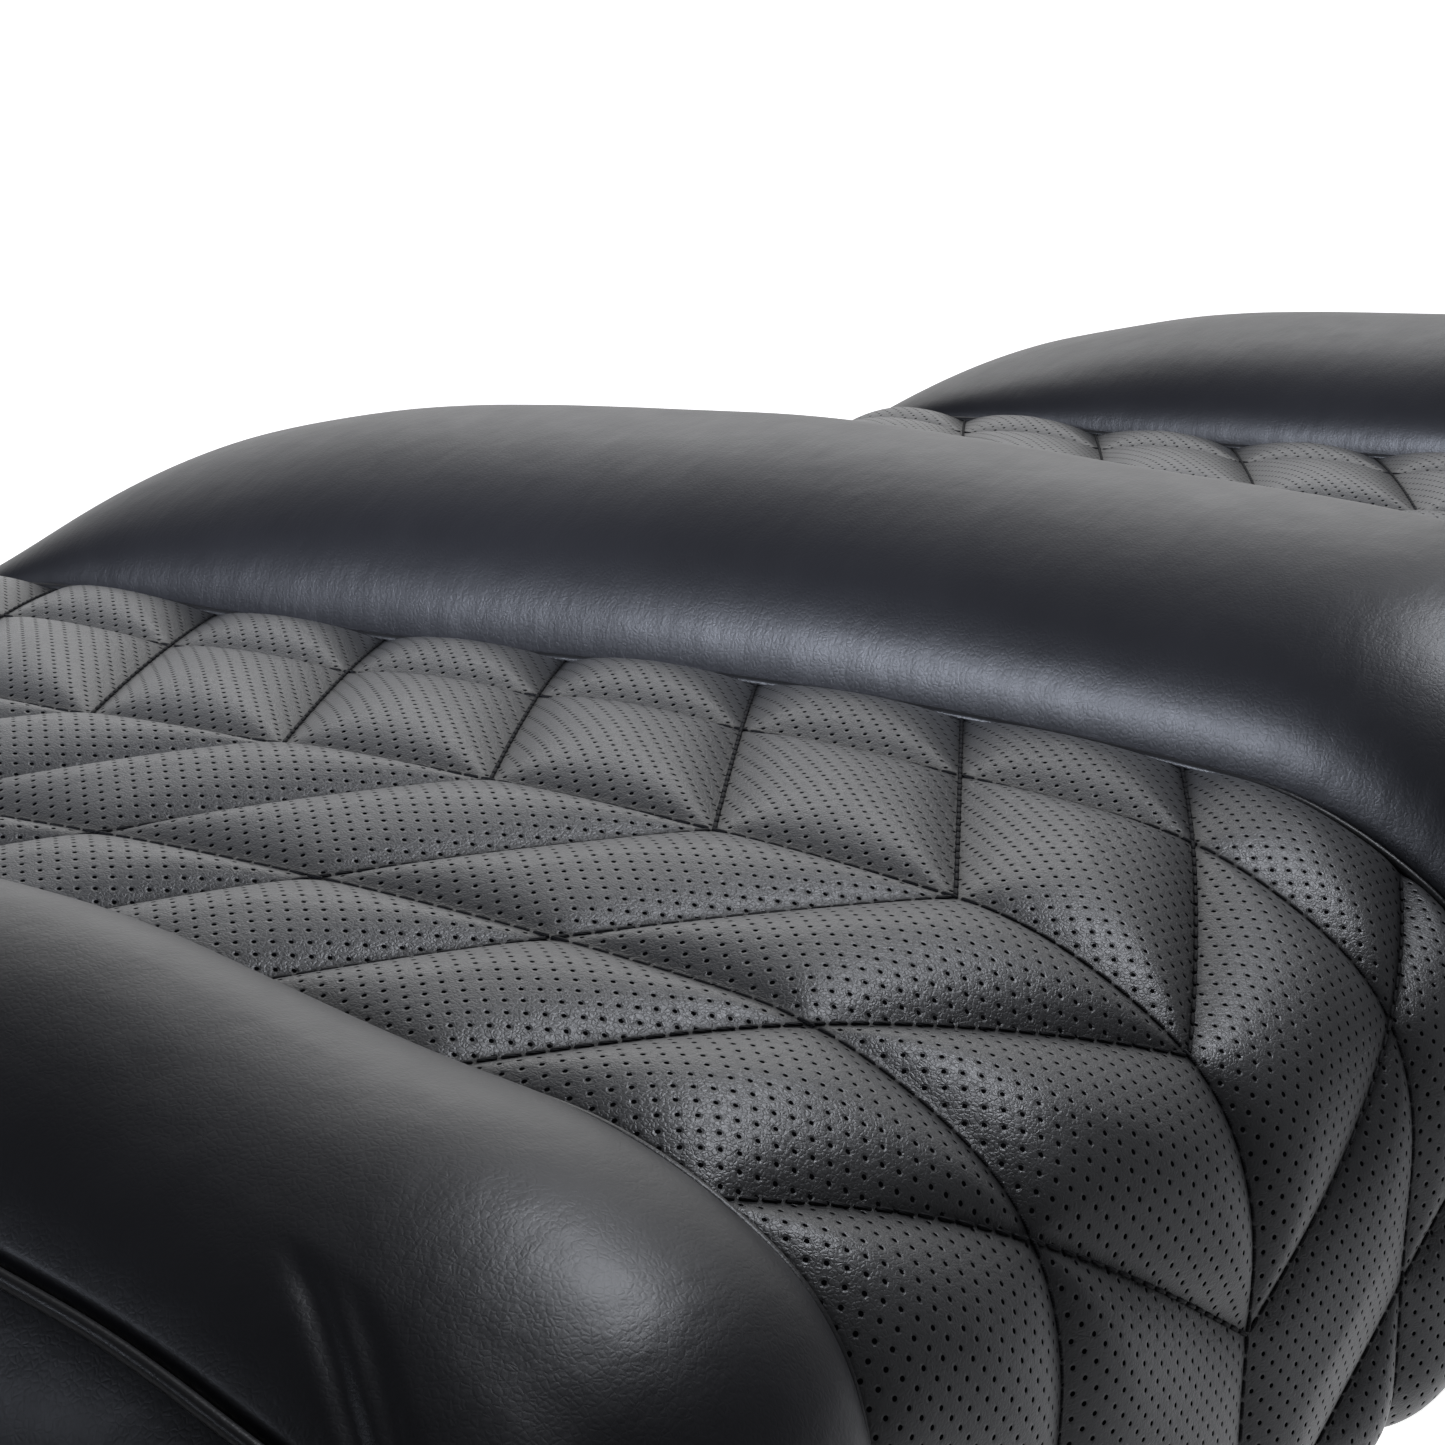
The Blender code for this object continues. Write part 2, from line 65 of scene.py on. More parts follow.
CHEV, LINE, TAN = 11.08, 14.4, 0.577      # chevron spacing, fore-aft line spacing, chevron slope

SG = np.arange(-92, 40.01, 0.05)


def tab(t, s):
    a = np.array(t, float)
    return np.interp(s, a[:, 0], a[:, 1])


def smooth_tab(t, s, w=3.0):
    return sum(tab(t, s + d) for d in np.linspace(-w, w, 13)) / 13


ANG = np.radians(smooth_tab(SLOPE, SG, 1.0))
_c = np.concatenate([[0], np.cumsum(np.cos((ANG[1:] + ANG[:-1]) / 2) * 0.05)])
_z = np.concatenate([[0], np.cumsum(np.sin((ANG[1:] + ANG[:-1]) / 2) * 0.05)])
_i0 = int(np.argmin(abs(SG)))
YG, ZG = -(_c - _c[_i0]) * Q, -(_z - _z[_i0]) * Q


def base(s):
    a = np.interp(s, SG, ANG)
    return np.interp(s, SG, YG), np.interp(s, SG, ZG), -np.sin(a), np.cos(a)


def s01(t):
    t = np.clip(t, 0, 1)
    return t * t * (3 - 2 * t)


def seam(s, side):
    return INSERT_HALF + (smooth_tab(FLARE_L, s) * Q if side < 0 else 0 * s)


def crown(s, t):
    return (-0.5 + 0.5 * np.clip(s / 35, -1.5, 1)) * (t / 24) ** 2 * Q


def cell_noise(i, j):
    v = np.sin(i * 12.9898 + j * 78.233) * 43758.5453
    return v - np.floor(v)


def puff(s, t):
    """height of the quilted surface over its stitching lines, in metres, and the distance to them in rows"""
    half = np.where(t < 0, seam(s, -1), seam(s, 1)) / Q
    d_edge = half - abs(t)
    d_line = np.minimum(np.minimum(abs(t), abs(abs(t) - LINE)), np.maximum(d_edge, 0) * 1.0)
    w = s + TAN * abs(t)
    d_chev = 0.866 * abs((w + CHEV / 2) % CHEV - CHEV / 2)
    k = 3.2
    a, b = np.maximum(d_line, 1e-3), np.maximum(d_chev, 1e-3)
    d = (a ** -k + b ** -k) ** (-1 / k)
    ds = np.sqrt(d * d + 0.05) - math.sqrt(0.05)
    n = cell_noise(np.floor(w / CHEV), np.floor(t / LINE + 0.0))
    h = (0.94 + 0.12 * n) * (1.08 * (1 - np.exp(-ds / 2.1)) + 0.68 * (1 - np.exp(-ds / 5.5))) * Q
    return h, d


def insert_pt(s, t, h=0.0):
    y, z, ny, nz = base(s)
    o = crown(s, t) + h
    return np.stack([t * Q + 0 * s, y + ny * o, z + nz * o], -1)


def bolster_pt(s, side, a):
    """a: 0 at the seam, 1 at the crest, 2 at the outer side, 2.25 just under the boxing seam"""
    y, z, ny, nz = base(s)
    h = smooth_tab(RISE[side], s) * Q
    b = seam(s, side)
    dip = crown(s, b / Q)
    ai = np.clip(a, 0, 1) * math.pi / 2
    ao = np.clip(a - 1, 0, 1) * math.pi / 2
    out = a > 1
    v_in = dip * (1 - np.sin(ai)) + h * np.sin(ai)
    v_out = h - (h + BOLSTER_DROP) * (1 - np.cos(ao))
    v = np.where(out, v_out, v_in)
    x = np.where(out, INSERT_HALF + CREST[side] + (HALF - INSERT_HALF - CREST[side]) * np.sin(ao),
                 b + (INSERT_HALF + CREST[side] - b) * (1 - np.cos(ai)))
    lam = (CUSHION_H + np.minimum(v, 0)) / CUSHION_H
    low = (v < 0) & out
    tz = np.where(low, -CUSHION_H + (z + CUSHION_H) * lam, z + nz * v)
    ty = np.where(low, y - 0.12 * v * s01((s + 5) / 15), y + ny * v)
    return np.stack([side * x + 0 * s, ty, tz], -1)


# ------------------------------------------------------------------ anchors from the frame
pan_lo, pan_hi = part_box("driver_seat_pan")
pan2_lo, pan2_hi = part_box("passenger_seat_pan")
Y_FRONT = float(YG.min())
CX = (pan_lo.x + pan_hi.x) / 2
OY = pan_lo.y + 0.05585
Z0 = pan_hi.z + CUSHION_H
ORIGIN = {"driver": Vector((CX, OY, Z0)),
          "passenger": Vector(((pan2_lo.x + pan2_hi.x) / 2, OY + pan2_lo.y - pan_lo.y, pan2_hi.z + CUSHION_H))}


# ------------------------------------------------------------------ materials
def nodes_of(name):
    m = bpy.data.materials.new(name)
    m.use_nodes = True
    nt = m.node_tree
    return m, nt, nt.nodes["Principled BSDF"]


def nd(nt, kind, **kw):
    n = nt.nodes.new(kind)
    for k, v in kw.items():
        if k.startswith("i_"):
            n.inputs[int(k[2:]) if k[2:].isdigit() else k[2:].replace("_", " ")].default_value = v
        else:
            setattr(n, k, v)
    return n


def ramp(nt, fac, stops):
    r = nt.nodes.new("ShaderNodeValToRGB")
    el = r.color_ramp.elements
    while len(el) < len(stops):
        el.new(0.5)
    for e, (p, c) in zip(el, stops):
        e.position = p
        e.color = (*c, 1) if len(c) == 3 else c
    nt.links.new(fac, r.inputs["Fac"])
    return r


def noise(nt, vec, scale, detail=3.0, rough=0.55):
    n = nd(nt, "ShaderNodeTexNoise", i_Scale=scale, i_Detail=detail, i_Roughness=rough)
    nt.links.new(vec, n.inputs["Vector"])
    return n.outputs["Fac"]


def mathn(nt, op, a, b=None, clamp=False):
    m = nt.nodes.new("ShaderNodeMath")
    m.operation = op
    m.use_clamp = clamp
    for k, v in ((0, a), (1, b)):
        if v is None:
            continue
        if isinstance(v, (int, float)):
            m.inputs[k].default_value = v
        else:
            nt.links.new(v, m.inputs[k])
    return m.outputs[0]


def mixc(nt, fac, c1, c2):
    m = nt.nodes.new("ShaderNodeMix")
    m.data_type = "RGBA"
    for sock, v in ((m.inputs[0], fac), (m.inputs[6], c1), (m.inputs[7], c2)):
        if isinstance(v, (int, float)):
            sock.default_value = v
        elif isinstance(v, tuple):
            sock.default_value = (*v, 1)
        else:
            nt.links.new(v, sock)
    return m.outputs[2]


def bump(nt, height, dist, strength=1.0, normal=None):
    b = nt.nodes.new("ShaderNodeBump")
    b.inputs["Strength"].default_value = strength
    b.inputs["Distance"].default_value = dist
    nt.links.new(height, b.inputs["Height"])
    if normal is not None:
        nt.links.new(normal, b.inputs["Normal"])
    return b.outputs["Normal"]


def grain(nt, vec, scale=900.0):
    """leather pebble: cells with soft creases between them"""
    v = nd(nt, "ShaderNodeTexVoronoi", feature="DISTANCE_TO_EDGE", i_Scale=scale)
    wob = nd(nt, "ShaderNodeTexNoise", i_Scale=scale * 0.6, i_Detail=2.0)
    nt.links.new(vec, wob.inputs["Vector"])
    add = nd(nt, "ShaderNodeVectorMath", operation="MULTIPLY_ADD")
    nt.links.new(wob.outputs["Color"], add.inputs[0])
    add.inputs[1].default_value = (0.0011,) * 3
    nt.links.new(vec, add.inputs[2])
    nt.links.new(add.outputs[0], v.inputs["Vector"])
    return mathn(nt, "MINIMUM", v.outputs["Distance"], 0.25)


def quilt_material():
    m, nt, b = nodes_of("perforated_quilt_leather")
    uv = nd(nt, "ShaderNodeUVMap", uv_map="rows")
    obj = nd(nt, "ShaderNodeTexCoord").outputs["Object"]
    valley_shade_attr = nd(nt, "ShaderNodeAttribute", attribute_name="crown")

    def lattice(shift):
        a = nd(nt, "ShaderNodeVectorMath", operation="ADD")
        nt.links.new(uv.outputs["UV"], a.inputs[0])
        a.inputs[1].default_value = (shift, shift, 0)
        f = nd(nt, "ShaderNodeVectorMath", operation="FRACTION")
        nt.links.new(a.outputs[0], f.inputs[0])
        c = nd(nt, "ShaderNodeVectorMath", operation="SUBTRACT")
        nt.links.new(f.outputs[0], c.inputs[0])
        c.inputs[1].default_value = (0.5, 0.5, 0)
        ln = nd(nt, "ShaderNodeVectorMath", operation="LENGTH")
        nt.links.new(c.outputs[0], ln.inputs[0])
        return ln.outputs["Value"]
    d = mathn(nt, "MINIMUM", lattice(0.0), lattice(0.5))
    hole = nd(nt, "ShaderNodeMapRange", interpolation_type="SMOOTHSTEP")
    hole.inputs[1].default_value, hole.inputs[2].default_value = 0.086, 0.124
    nt.links.new(d, hole.inputs[0])
    solid = hole.outputs[0]                      # 0 in a hole, 1 on leather
    rim = nd(nt, "ShaderNodeMapRange", interpolation_type="SMOOTHSTEP")
    rim.inputs[1].default_value, rim.inputs[2].default_value = 0.10, 0.20
    nt.links.new(d, rim.inputs[0])
    tone = noise(nt, obj, 30.0, 4.0)
    fine = noise(nt, obj, 700.0, 3.0)
    lit = ramp(nt, tone, [(0.3, (0.052, 0.052, 0.053)), (0.7, (0.064, 0.064, 0.065))])
    # painted shade: the colour falls from the crown tone to a darker grey near the stitching lines, standing in for
    # shade in the quilting valleys
    col = mixc(nt, valley_shade_attr.outputs["Fac"], (0.026, 0.026, 0.027), lit.outputs[0])
    col = mixc(nt, mathn(nt, "MULTIPLY", fine, 0.35), col, (0.044, 0.044, 0.045))
    # painted shadow: a narrow near-black line along every stitching line, standing in for the shadow in the stitched
    # groove; the same mask lowers the specular there
    stitch_line_shade_attr = nd(nt, "ShaderNodeAttribute", attribute_name="crease")
    col = mixc(nt, mathn(nt, "MULTIPLY", stitch_line_shade_attr.outputs["Fac"], 0.95, True), col, (0.006, 0.006, 0.0065))
    # painted shade: each perforation is a near-black disc standing in for the shaded hole, which is not cut into the
    # mesh
    col = mixc(nt, solid, (0.0025, 0.0025, 0.003), col)
    nt.links.new(col, b.inputs["Base Color"])
    rg = nd(nt, "ShaderNodeMapRange")
    rg.inputs[3].default_value, rg.inputs[4].default_value = 0.33, 0.45
    nt.links.new(fine, rg.inputs[0])
    nt.links.new(rg.outputs[0], b.inputs["Roughness"])
    keep = mathn(nt, "SUBTRACT", 0.5, mathn(nt, "MULTIPLY", stitch_line_shade_attr.outputs["Fac"], 0.4), True)
    nt.links.new(mathn(nt, "MULTIPLY", solid, keep), b.inputs["Specular IOR Level"])
    g = grain(nt, obj, 1100.0)
    n1 = bump(nt, g, 0.00035, 0.45)
    n2 = bump(nt, noise(nt, obj, 260.0, 4.0), 0.0004, 0.30, n1)
    n3 = bump(nt, rim.outputs[0], 0.00025, 0.35, n2)
    nt.links.new(n3, b.inputs["Normal"])
    return m


def leather_material(name="smooth_leather", dark=(0.0105, 0.0105, 0.0125), light=(0.016, 0.016, 0.019), r=(0.36, 0.46)):
    m, nt, b = nodes_of(name)
    obj = nd(nt, "ShaderNodeTexCoord").outputs["Object"]
    tone = noise(nt, obj, 14.0, 5.0)
    c = ramp(nt, tone, [(0.3, dark), (0.72, light)])
    nt.links.new(c.outputs[0], b.inputs["Base Color"])
    rr = nd(nt, "ShaderNodeMapRange")
    rr.inputs[3].default_value, rr.inputs[4].default_value = r
    nt.links.new(noise(nt, obj, 90.0, 5.0), rr.inputs[0])
    nt.links.new(rr.outputs[0], b.inputs["Roughness"])
    b.inputs["Specular IOR Level"].default_value = 0.42
    g = grain(nt, obj, 800.0)
    n1 = bump(nt, g, 0.00040, 0.16)
    wr = nd(nt, "ShaderNodeMapping")
    wr.inputs["Scale"].default_value = (0.40, 1.0, 0.40)
    nt.links.new(obj, wr.inputs["Vector"])
    n2 = bump(nt, noise(nt, wr.outputs[0], 230.0, 5.0, 0.6), 0.0006, 0.24, n1)
    n3 = bump(nt, noise(nt, obj, 28.0, 3.0), 0.0018, 0.30, n2)
    nt.links.new(n3, b.inputs["Normal"])
    return m


def simple_material(name, c1, c2, scale, rough, metal=0.0, bscale=400.0, bdist=0.0003, bstr=0.3, aniso=None):
    m, nt, b = nodes_of(name)
    obj = nd(nt, "ShaderNodeTexCoord").outputs["Object"]
    vec = obj
    if aniso:
        mp = nd(nt, "ShaderNodeMapping")
        mp.inputs["Scale"].default_value = aniso
        nt.links.new(obj, mp.inputs["Vector"])
        vec = mp.outputs[0]
    c = ramp(nt, noise(nt, vec, scale, 5.0), [(0.35, c1), (0.65, c2)])
    nt.links.new(c.outputs[0], b.inputs["Base Color"])
    rr = nd(nt, "ShaderNodeMapRange")
    rr.inputs[3].default_value, rr.inputs[4].default_value = rough
    nt.links.new(noise(nt, vec, scale * 3, 4.0), rr.inputs[0])
    nt.links.new(rr.outputs[0], b.inputs["Roughness"])
    b.inputs["Metallic"].default_value = metal
    nt.links.new(bump(nt, noise(nt, vec, bscale, 4.0), bdist, bstr), b.inputs["Normal"])
    return m


def thread_material():
    m, nt, b = nodes_of("black_thread")
    uvn = nd(nt, "ShaderNodeTexCoord").outputs["Object"]
    w = nd(nt, "ShaderNodeTexWave", i_Scale=900.0, i_Distortion=1.0)
    w.bands_direction = "DIAGONAL"
    nt.links.new(uvn, w.inputs["Vector"])
    c = ramp(nt, w.outputs["Fac"], [(0.2, (0.004, 0.004, 0.005)), (0.8, (0.012, 0.012, 0.013))])
    nt.links.new(c.outputs[0], b.inputs["Base Color"])
    b.inputs["Roughness"].default_value = 0.62
    b.inputs["Specular IOR Level"].default_value = 0.12
    nt.links.new(bump(nt, w.outputs["Fac"], 0.0001, 0.6), b.inputs["Normal"])
    return m


QUILT = quilt_material()
LEATHER = leather_material()
BOXING = leather_material("boxing_vinyl", (0.012, 0.012, 0.013), (0.018, 0.018, 0.020), (0.42, 0.54))
WELT = leather_material("welt_leather", (0.010, 0.010, 0.011), (0.016, 0.016, 0.017), (0.34, 0.44))
THREAD = thread_material()
TUBE = simple_material("black_powder_coat", (0.010, 0.010, 0.011), (0.016, 0.016, 0.017), 60.0, (0.34, 0.48), 0.0, 1400.0, 0.00025, 0.35)
ZINC = simple_material("zinc_plate", (0.42, 0.42, 0.40), (0.60, 0.60, 0.57), 45.0, (0.26, 0.42), 1.0, 500.0, 0.0001, 0.25)
STEEL = simple_material("bright_steel", (0.36, 0.36, 0.37), (0.52, 0.52, 0.53), 80.0, (0.24, 0.38), 1.0, 600.0, 0.0001, 0.3, (1.0, 0.06, 1.0))
RUBBER = simple_material("black_rubber", (0.010, 0.010, 0.010), (0.020, 0.020, 0.019), 70.0, (0.70, 0.88), 0.0, 900.0, 0.0003, 0.4)
PAN = simple_material("moulded_pan", (0.014, 0.014, 0.015), (0.022, 0.022, 0.023), 35.0, (0.50, 0.66), 0.0, 1000.0, 0.0003, 0.5)
CAD_LOOK = (("tube", TUBE), ("foot", TUBE), ("rail", TUBE), ("riser", TUBE), ("ear", TUBE), ("bump", RUBBER), ("rod", ZINC), ("striker", ZINC),
            ("leaf", ZINC), ("housing", ZINC), ("pin", STEEL), ("spring", STEEL), ("lever", STEEL), ("pan", PAN), ("boxing", BOXING))
for name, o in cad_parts.items():
    for key, mat in CAD_LOOK:
        if key in name.replace("insert_pad", ""):
            if o.material_slots:
                for sl in o.material_slots:
                    sl.material = mat
            else:
                o.data.materials.append(mat)
            break


# ------------------------------------------------------------------ mesh helpers
def make(name, verts, faces, mat, body, offset=(0, 0, 0), smooth=True):
    me = bpy.data.meshes.new(name)
    me.from_pydata(np.asarray(verts, float).tolist(), [], faces)
    me.update()
    me.materials.append(mat)
    if smooth:
        me.shade_smooth()
    o = bpy.data.objects.new(name, me)
    bpy.context.scene.collection.objects.link(o)
    o.location = offset
    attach(o, body)
    return o


def grid_faces(n, m, start=0):
    i, j = np.meshgrid(np.arange(n - 1), np.arange(m - 1), indexing="ij")
    a = start + i * m + j
    return np.stack([a, a + 1, a + m + 1, a + m], -1).reshape(-1, 4)


def fix_normals(o):
    bm = bmesh.new()
    bm.from_mesh(o.data)
    bmesh.ops.recalc_face_normals(bm, faces=bm.faces)
    bm.to_mesh(o.data)
    bm.free()


def spread(a, b, n, power=1.0):
    """n+1 points from a to b, denser towards both ends"""
    u = np.linspace(-1, 1, n + 1)
    u = np.sign(u) * (1 - (1 - abs(u)) ** power) if power != 1 else u
    return a + (b - a) * (u + 1) / 2


# ------------------------------------------------------------------ quilted insert
def insert_arrays():
    per = spread(0, CHEV, 22, 1.35)[:-1]
    w0 = math.floor(S0 / CHEV)
    rows = np.concatenate([k * CHEV + per for k in range(w0, int(math.ceil((S1 + 16) / CHEV)) + 1)])
    rows = rows[(rows >= S0) & (rows <= S1 + TAN * 28)]
    rows = np.concatenate([[S0], rows, [S1 + TAN * 28]])
    mid = [spread(-LINE, 0, 24, 1.3), spread(0, LINE, 24, 1.3)[1:]]
    lo, hi = np.linspace(0, 1, 19)[:-1], np.linspace(0, 1, 19)[1:]
    T = np.concatenate([lo, mid[0] * 0 + 2, mid[1] * 0 + 3, hi + 5])
    W = rows[:, None] * np.ones(len(T))[None]
    t = np.zeros_like(W)
    s = np.zeros_like(W)
    for c in range(len(T)):
        # edge columns follow the seam, so they depend on s: two passes settle it
        if c < len(lo):
            tt = np.full(len(rows), -24.0)
            for _ in range(4):
                ss = rows - TAN * abs(tt)
                e = -seam(ss, -1) / Q
                tt = e + (-LINE - e) * T[c]
        elif T[c] >= 5:
            u = T[c] - 5
            tt = np.full(len(rows), LINE + (24 - LINE) * u)
        else:
            col = np.concatenate(mid)[c - len(lo)]
            tt = np.full(len(rows), col)
        ss = rows - TAN * abs(tt)
        ss = np.where(ss < S0, S0 + (ss - S0) * 0.02, ss)
        ss = np.where(ss > S1, S1 + (ss - S1) * 0.02, ss)
        t[:, c], s[:, c] = tt, ss
    return s, t


def build_insert(tag):
    body, off = tag + "_cushion", ORIGIN[tag]
    s, t = insert_arrays()
    h, d = puff(s, t)
    P = insert_pt(s, t, h)
    n, m = s.shape
    verts = P.reshape(-1, 3)
    faces = grid_faces(n, m).tolist()
    # skirt and a plain back, so that the pad is one closed body
    def deep(col):
        y, z, ny, nz = base(s[:, col])
        x = t[:, col] * Q
        k = -0.009
        return np.stack([x, y + ny * k, z + nz * k], -1)
    L, R = deep(0), deep(m - 1)
    bl, br = len(verts), len(verts) + n
    verts = np.concatenate([verts, L, R])
    for i in range(n - 1):
        faces.append((i * m, (i + 1) * m, bl + i + 1, bl + i))
        faces.append((i * m + m - 1, br + i, br + i + 1, (i + 1) * m + m - 1))
        faces.append((bl + i, bl + i + 1, br + i + 1, br + i))
    faces.append(tuple(range(0, m)) + (br, bl))
    faces.append(tuple(range((n - 1) * m, n * m))[::-1] + (bl + n - 1, br + n - 1))
    o = make(tag + "_quilted_insert", verts, faces, QUILT, body, off)
    fix_normals(o)
    me = o.data
    uvl = me.uv_layers.new(name="rows")
    full_s = np.concatenate([s.reshape(-1), s[:, 0], s[:, -1]])
    full_t = np.concatenate([t.reshape(-1), t[:, 0], t[:, -1]])
    li = np.zeros(len(me.loops), int)
    me.loops.foreach_get("vertex_index", li)
    uvl.data.foreach_set("uv", (ROWS * np.stack([full_t[li], full_s[li]], -1)).reshape(-1).astype(np.float32))
    # crown attribute: 0 on the stitching lines, 1 on the crowns; the quilt material darkens towards 0 as painted valley
    # shade
    valley_shade = np.concatenate([s01(np.clip(d / 2.4, 0, 1)).reshape(-1), np.zeros(2 * n)])
    at = me.attributes.new("crown", "FLOAT", "POINT")
    at.data.foreach_set("value", valley_shade.astype(np.float32))
    # narrow mask on the stitching lines, used for the painted stitch-line shadow
    stitch_line_shade_values = np.concatenate([np.exp(-(d / 0.26) ** 2).reshape(-1), np.zeros(2 * n)])
    at = me.attributes.new("crease", "FLOAT", "POINT")
    at.data.foreach_set("value", stitch_line_shade_values.astype(np.float32))
    sub = o.modifiers.new("fine", "SUBSURF")
    sub.levels = sub.render_levels = 1
    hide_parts(tag + "_insert_pad", tag + "_foam_core")
    return o


# ------------------------------------------------------------------ stitches
def stitch_paths():
    out = []
    for t0 in (-LINE, 0, LINE):
        ss = np.arange(S0 + 0.5, 31, 0.05)
        out.append((ss, np.full_like(ss, t0)))
    for i in range(int(S0 // CHEV), int((S1 + 16) // CHEV) + 1):
        for side in (-1, 1):
            tt = np.arange(0, 28, 0.05)
            ss = i * CHEV - TAN * tt
            ok = (ss > S0 + 0.5) & (ss < 31) & (tt < seam(ss, side) / Q - 0.6)
            if ok.sum() > 10:
                out.append((ss[ok], side * tt[ok]))
    return out


def capsule(length, r, sides=6):
    rings = [(-length / 2, 0.35), (-length / 2 + r * 0.5, 0.85), (-length / 6, 1.0), (length / 6, 1.0), (length / 2 - r * 0.5, 0.85), (length / 2, 0.35)]
    v, f = [], []
    for x, k in rings:
        for j in range(sides):
            a = 2 * math.pi * j / sides
            v.append((x, r * k * math.cos(a), r * k * math.sin(a)))
    for i in range(len(rings) - 1):
        for j in range(sides):
            k = (j + 1) % sides
            f.append((i * sides + j, i * sides + k, (i + 1) * sides + k, (i + 1) * sides + j))
    f.append(tuple(range(sides))[::-1])
    f.append(tuple(range((len(rings) - 1) * sides, len(rings) * sides)))
    return np.array(v), f


def build_stitches(tag):
    step, length, r = 0.0044, 0.0036, 0.00050
    cv, cf = capsule(length, r)
    V, F = [], []
    count = 0
    for ss, tt in stitch_paths():
        h, _ = puff(ss, tt)
        P = insert_pt(ss, tt, h + 0.00018)
        seg = np.linalg.norm(np.diff(P, axis=0), axis=1)
        acc = np.concatenate([[0], np.cumsum(seg)])
        at = np.arange(step * 0.6, acc[-1], step)
        c = np.stack([np.interp(at, acc, P[:, k]) for k in range(3)], -1)
        a = np.stack([np.interp(at + 0.001, acc, P[:, k]) for k in range(3)], -1)
        b = np.stack([np.interp(at - 0.001, acc, P[:, k]) for k in range(3)], -1)
        T = a - b
        T /= np.maximum(np.linalg.norm(T, axis=1), 1e-9)[:, None]
        _, _, ny, nz = base(np.interp(at, acc, ss))
        N = np.stack([0 * ny, ny, nz], -1)
        B = np.cross(N, T)
        B /= np.linalg.norm(B, axis=1)[:, None]
        N = np.cross(T, B)
        for k in range(len(at)):
            V.append(c[k] + cv[:, :1] * T[k] + cv[:, 1:2] * B[k] + cv[:, 2:3] * N[k])
            F.extend([tuple(i + count for i in f) for f in cf])
            count += len(cv)
    o = make(tag + "_quilt_stitching", np.concatenate(V), F, THREAD, tag + "_cushion", ORIGIN[tag])
    return o


# ------------------------------------------------------------------ bolsters
def bolster_skin(S, side, A):
    """outer skin of a bolster with the small unevenness of stretched leather"""
    P = bolster_pt(S, side, A)
    fade = np.exp(-A / 0.05)
    up = np.sin(np.clip(A, 0, 1) * math.pi / 2) ** 2 * np.clip((2 - A) / 0.6, 0, 1)
    P[..., 2] += 0.00035 * np.sin(S * 2.6 + 0.8 * np.sin(S * 0.37)) * fade
    P[..., 2] += 0.0007 * np.sin(S * 0.19 + 1.3 * A) * up
    # soft draw lines on the outer flank where the cover is pulled down to the boxing seam
    flank = np.clip((A - 1.45) / 0.4, 0, 1) * np.clip((2.02 - A) / 0.2, 0, 1)
    P[..., 0] += side * 0.0008 * flank * np.sin(S * 0.55 + 2.2 * np.sin(S * 0.11))
    end = s01((S0 + 7 - S) / 7)
    P[..., 2] -= 0.008 * end ** 2
    return P


SHOULDER = ((-92, 1.505), (-5, 1.508), (-2, 1.52), (1.2, 1.54), (3.7, 1.55), (7, 1.557), (14, 1.575), (24, 1.60), (33, 1.62))


def flank_normal(S, side, A):
    d = bolster_pt(S, side, A + 0.004) - bolster_pt(S, side, A - 0.004)
    n = np.stack([-side * d[..., 2], 0 * d[..., 0], side * d[..., 0]], -1)
    L = np.linalg.norm(d[..., [0, 2]], axis=-1)
    return n / (L[..., None] + 1e-9), L / 0.008


def shoulder_seam(P, S, side, A):
    """sewn seam along the outer shoulder, with the side band set in a little below it"""
    N, per = flank_normal(S, side, A)
    d = (A - smooth_tab(SHOULDER, S)) * per
    on = np.clip((A - 1.15) / 0.1, 0, 1) * np.clip((2.0 - A) / 0.15, 0, 1)
    v = -0.0020 * np.exp(-(d / 0.0013) ** 2) - 0.0011 * np.exp(-np.abs(d) / 0.008) - 0.0014 * s01(d / 0.0035 + 0.2)
    # two soft folds where the cover is drawn round the front corner
    if side < 0:
        w = s01((A - 1.31) / 0.06) * s01((1.55 - A) / 0.04)
        for c, k in ((2.4, 0.0010), (4.5, 0.0006)):
            v -= k * w * np.exp(-((S - c - 33 * (A - 1.36)) / 0.75) ** 2)
    return P + N * (v * on)[..., None]


def build_shoulder_piping(tag, side):
    nm = {-1: "left", 1: "right"}[side]
    s = np.linspace(S0 + 1.5, S1 - 2.0, 240)
    per = flank_normal(s, side, smooth_tab(SHOULDER, s))[1]
    a = smooth_tab(SHOULDER, s) + 0.0015 / per
    N = flank_normal(s, side, a)[0]
    pts = bolster_skin(s, side, a) - N * 0.0007
    cord("%s_bolster_%s_piping" % (tag, nm), pts, 0.0015, WELT, tag + "_cushion", ORIGIN[tag])


